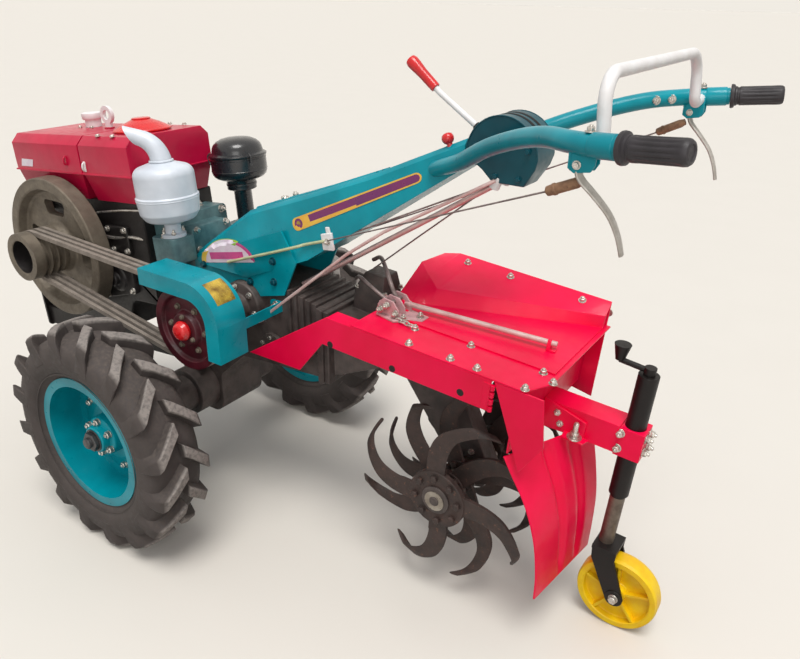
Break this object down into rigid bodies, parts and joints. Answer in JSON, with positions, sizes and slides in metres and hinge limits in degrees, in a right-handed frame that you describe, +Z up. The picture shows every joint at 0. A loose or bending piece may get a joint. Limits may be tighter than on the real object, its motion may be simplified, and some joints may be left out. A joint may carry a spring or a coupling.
{
  "type": "walking tractor with rotary tiller",
  "caption": "Two-wheeled walking tractor with a belt-driven diesel engine, handle column, rear rotary tiller and a height-adjustable depth wheel.",
  "frame": {"origin": "on the ground under the middle of the machine's overall box", "axes": "+X forwards along the machine, +Y to its left, +Z up"},
  "size_m": [1.9184, 0.9282, 1.218],
  "materials": {
    "teal": "glossy teal paint",
    "dark_teal": "glossy dark teal paint",
    "red": "glossy red paint",
    "crimson": "glossy crimson paint",
    "bright_red": "glossy red paint",
    "maroon": "satin maroon paint",
    "black": "satin black paint",
    "cast": "oily cast iron",
    "block": "dark painted casting",
    "wheel_iron": "bare grey-brown casting",
    "steel": "zinc-plated steel",
    "silver": "silver heat-proof paint",
    "white": "off-white paint",
    "tyre": "matt black rubber",
    "belt": "worn grey rubber",
    "grip": "matt black rubber",
    "yellow": "moulded yellow plastic",
    "red_plastic": "glossy red plastic",
    "lamp": "clear lens in a pale ring"
  },
  "bodies": {
    "chassis": {"frame_rails": "black", "gearbox_case": "cast", "axle_housings": "cast", "drive_belts": "belt", "belt_guard": "teal", "engine_block": "block", "cylinder_head": "block", "fuel_tank": "crimson", "water_hopper": "crimson", "filler_neck": "white", "lifting_eye": "white", "hopper_cover": "bright_red", "headlamp": "lamp", "muffler": "silver", "air_cleaner": "black", "handle_beam": "teal", "handle_arms": "teal", "grips": "grip", "clutch_levers": "steel", "hand_loop": "white", "control_box": "dark_teal", "gear_lever": "white", "gear_lever_grip": "red_plastic", "control_rods": "steel", "side_bars": "red", "deck_plate": "red", "hood": "red", "rear_shield": "red", "tail_arm": "red", "strut_tube": "black", "depth_crank": "black", "chain_case": "block", "hood_rod": "steel"},
    "wheel_left": {"tyre_left": "tyre", "rim_left": "teal"},
    "wheel_right": {"tyre_right": "tyre", "rim_right": "teal"},
    "crank": {"flywheel": "wheel_iron", "crank_pulley": "wheel_iron"},
    "clutch": {"clutch_pulley": "maroon", "clutch_cap": "red_plastic"},
    "rotor": {"rotor_shaft": "block", "rotor_tines": "cast"},
    "depth_leg": {"strut_leg": "black"},
    "tail_wheel": {"tail_wheel": "yellow"}
  },
  "joints": [
    {"name": "wheel_left_spin", "type": "hinge", "parent": "chassis", "child": "wheel_left", "pos_m": [0.31002, 0.3886, 0.295], "axis": [0, 1, 0], "continuous": true},
    {"name": "wheel_right_spin", "type": "hinge", "parent": "chassis", "child": "wheel_right", "pos_m": [0.31002, -0.3886, 0.295], "axis": [0, 1, 0], "continuous": true},
    {"name": "flywheel_spin", "type": "hinge", "parent": "chassis", "child": "crank", "pos_m": [0.70502, 0.2, 0.648], "axis": [0, 1, 0], "continuous": true},
    {"name": "clutch_pulley_spin", "type": "hinge", "parent": "chassis", "child": "clutch", "pos_m": [0.11202, 0.242, 0.589], "axis": [0, 1, 0], "continuous": true},
    {"name": "rotor_spin", "type": "hinge", "parent": "chassis", "child": "rotor", "pos_m": [-0.48998, -0.043, 0.285], "axis": [0, 1, 0], "continuous": true},
    {"name": "depth_slide", "type": "slide", "parent": "chassis", "child": "depth_leg", "axis": [-0.0698, 0, 0.9976], "range_m": [-0.05, 0.1]},
    {"name": "tail_wheel_spin", "type": "hinge", "parent": "depth_leg", "child": "tail_wheel", "pos_m": [-0.86858, -0.043, 0.0906], "axis": [0, 1, 0], "continuous": true}
  ],
  "couplings": [
    {"joint": "clutch_pulley_spin", "follows": "flywheel_spin", "ratio": 0.619}
  ]
}
